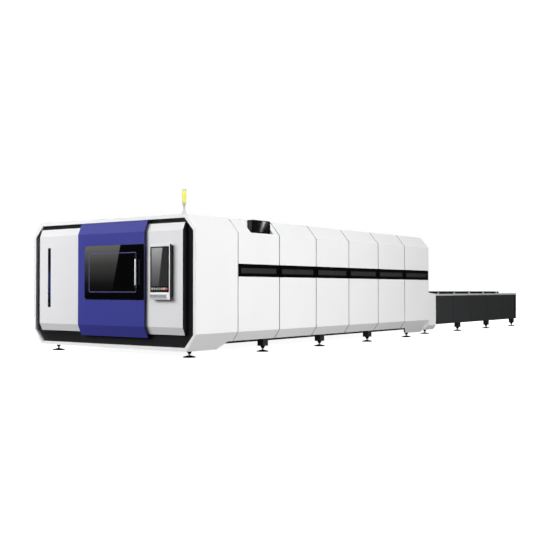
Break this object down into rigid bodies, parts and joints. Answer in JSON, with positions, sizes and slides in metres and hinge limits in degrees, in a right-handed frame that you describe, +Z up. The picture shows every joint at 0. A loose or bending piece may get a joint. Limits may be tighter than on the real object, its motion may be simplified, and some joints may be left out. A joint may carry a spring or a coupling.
{
  "type": "fiber laser cutting machine",
  "caption": "Closed sheet-metal laser cutting machine: octagonal white housing with a sliding front door, console and window band, and a long exchange table with two slatted pallets.",
  "frame": {"origin": "on the floor, under the middle of the machine's bounding box", "axes": "+X across the machine towards the side with the windows, +Y from the front door to the exchange table (the longest way), +Z up"},
  "size_m": [3.96, 15.58, 2.735],
  "materials": {
    "housing_white": "smooth white powder coat",
    "front_white": "satin light grey-white powder coat",
    "recess_black": "matt black powder coat",
    "frame_grey": "dark grey paint",
    "door_blue": "satin deep blue powder coat",
    "door_glass": "dark tinted laser safety glass",
    "window_glass": "dark tinted glass",
    "strip_lens": "gloss dark light strip",
    "steel": "ground steel",
    "handle_bright": "bright brushed bar",
    "handle_dark": "black",
    "console_black": "fine textured black",
    "console_silver": "satin silver",
    "console_glass": "gloss black",
    "screen_black": "switched-off screen",
    "lamp_grey": "satin grey",
    "lamp_yellow": "clear yellow plastic",
    "amber": "amber",
    "cyan": "cyan",
    "teal": "teal",
    "selector_grey": "grey",
    "stop_red": "red",
    "display_black": "gloss black",
    "foot_black": "black",
    "bed_paint": "dark grey paint",
    "table_dark": "dark grey paint",
    "table_silver": "satin silver",
    "slat_steel": "mild steel plate",
    "gantry_paint": "light grey paint",
    "head_paint": "dark grey"
  },
  "bodies": {
    "machine": {"front_frame": "housing_white", "front_bulkhead": "recess_black", "front_backings": "recess_black", "front_panel_left": "front_white", "front_panel_right": "front_white", "slot_lens": "strip_lens", "side_panels_right": "housing_white", "side_panels_left": "housing_white", "roof_panels": "housing_white", "window_bands": "recess_black", "window_panes": "window_glass", "rear_wall": "housing_white", "rear_covers": "housing_white", "display_cowl": "housing_white", "display_housing": "display_black", "display_screen": "screen_black", "housing_frame": "frame_grey", "foot_brackets": "foot_black", "levelling_feet": "foot_black", "door_tracks": "steel", "bed_beams": "bed_paint", "gantry_rails": "steel", "pallet_tracks": "steel", "table_frame": "table_dark", "table_panels": "table_dark", "table_rails": "table_silver", "exchange_drive": "head_paint", "lamp_base": "lamp_grey", "lamp_lens": "lamp_yellow", "lamp_cap": "lamp_grey", "console_housing": "console_black", "console_bezel": "console_silver", "console_glass": "console_glass", "console_display": "screen_black", "console_keyboard": "console_silver"},
    "door": {"door_leaf": "door_blue", "door_glass": "door_glass", "handle_grip": "handle_bright", "handle_ends": "handle_dark", "door_runners": "steel"},
    "upper_table": {"upper_pallet": "table_dark", "upper_slats": "slat_steel", "upper_bearings": "steel"},
    "lower_table": {"lower_pallet": "table_dark", "lower_slats": "slat_steel", "lower_bearings": "steel"},
    "gantry": {"gantry_beam": "gantry_paint"},
    "carriage": {"gantry_carriage": "gantry_paint"},
    "head": {"cutting_head": "head_paint"},
    "upper_wheels_1": {"upper_wheelset_1": "steel"},
    "upper_wheels_2": {"upper_wheelset_2": "steel"},
    "lower_wheels_1": {"lower_wheelset_1": "steel"},
    "lower_wheels_2": {"lower_wheelset_2": "steel"},
    "button_start_body": {"button_start": "amber"},
    "button_pause_body": {"button_pause": "cyan"},
    "button_light_body": {"button_light": "amber"},
    "button_exchange_body": {"button_exchange": "teal"},
    "button_reset_body": {"button_reset": "amber"},
    "emergency_stop_body": {"emergency_stop": "stop_red"},
    "mode_selector_body": {"mode_selector": "selector_grey"}
  },
  "joints": [
    {"name": "door_slide", "type": "slide", "parent": "machine", "child": "door", "axis": [-1, 0, 0], "range_m": [0, 1]},
    {"name": "upper_exchange", "type": "slide", "parent": "machine", "child": "upper_table", "axis": [0, -1, 0], "range_m": [0, 6.5]},
    {"name": "lower_exchange", "type": "slide", "parent": "machine", "child": "lower_table", "axis": [0, 1, 0], "range_m": [0, 6.5]},
    {"name": "gantry_travel", "type": "slide", "parent": "machine", "child": "gantry", "axis": [0, 1, 0], "range_m": [0, 6.8]},
    {"name": "carriage_travel", "type": "slide", "parent": "gantry", "child": "carriage", "axis": [1, 0, 0], "range_m": [-1.15, 1.15]},
    {"name": "head_travel", "type": "slide", "parent": "carriage", "child": "head", "axis": [0, 0, 1], "range_m": [-0.11, 0]},
    {"name": "upper_wheel_turn_1", "type": "hinge", "parent": "upper_table", "child": "upper_wheels_1", "pos_m": [0, 1.19, 0.903], "axis": [1, 0, 0], "continuous": true},
    {"name": "upper_wheel_turn_2", "type": "hinge", "parent": "upper_table", "child": "upper_wheels_2", "pos_m": [0, 6.09, 0.903], "axis": [1, 0, 0], "continuous": true},
    {"name": "lower_wheel_turn_1", "type": "hinge", "parent": "lower_table", "child": "lower_wheels_1", "pos_m": [0, -5.31, 0.643], "axis": [1, 0, 0], "continuous": true},
    {"name": "lower_wheel_turn_2", "type": "hinge", "parent": "lower_table", "child": "lower_wheels_2", "pos_m": [0, -0.41, 0.643], "axis": [1, 0, 0], "continuous": true},
    {"name": "button_start_press", "type": "slide", "parent": "machine", "child": "button_start_body", "axis": [0, 1, 0], "range_m": [0, 0.004], "stiffness_N_per_m": 600},
    {"name": "button_pause_press", "type": "slide", "parent": "machine", "child": "button_pause_body", "axis": [0, 1, 0], "range_m": [0, 0.004], "stiffness_N_per_m": 600},
    {"name": "button_light_press", "type": "slide", "parent": "machine", "child": "button_light_body", "axis": [0, 1, 0], "range_m": [0, 0.004], "stiffness_N_per_m": 600},
    {"name": "button_exchange_press", "type": "slide", "parent": "machine", "child": "button_exchange_body", "axis": [0, 1, 0], "range_m": [0, 0.004], "stiffness_N_per_m": 600},
    {"name": "button_reset_press", "type": "slide", "parent": "machine", "child": "button_reset_body", "axis": [0, 1, 0], "range_m": [0, 0.004], "stiffness_N_per_m": 600},
    {"name": "emergency_stop_press", "type": "slide", "parent": "machine", "child": "emergency_stop_body", "axis": [0, 1, 0], "range_m": [0, 0.004], "stiffness_N_per_m": 600},
    {"name": "mode_selector_turn", "type": "hinge", "parent": "machine", "child": "mode_selector_body", "pos_m": [1.437, -7.766, 1.113], "axis": [0, -1, 0], "range_deg": [-45, 45]}
  ],
  "couplings": [
    {"joint": "lower_exchange", "follows": "upper_exchange", "ratio": 1},
    {"joint": "upper_wheel_turn_1", "follows": "upper_exchange", "rad_per_m": 20},
    {"joint": "upper_wheel_turn_2", "follows": "upper_exchange", "rad_per_m": 20},
    {"joint": "lower_wheel_turn_1", "follows": "upper_exchange", "rad_per_m": -20},
    {"joint": "lower_wheel_turn_2", "follows": "upper_exchange", "rad_per_m": -20}
  ]
}
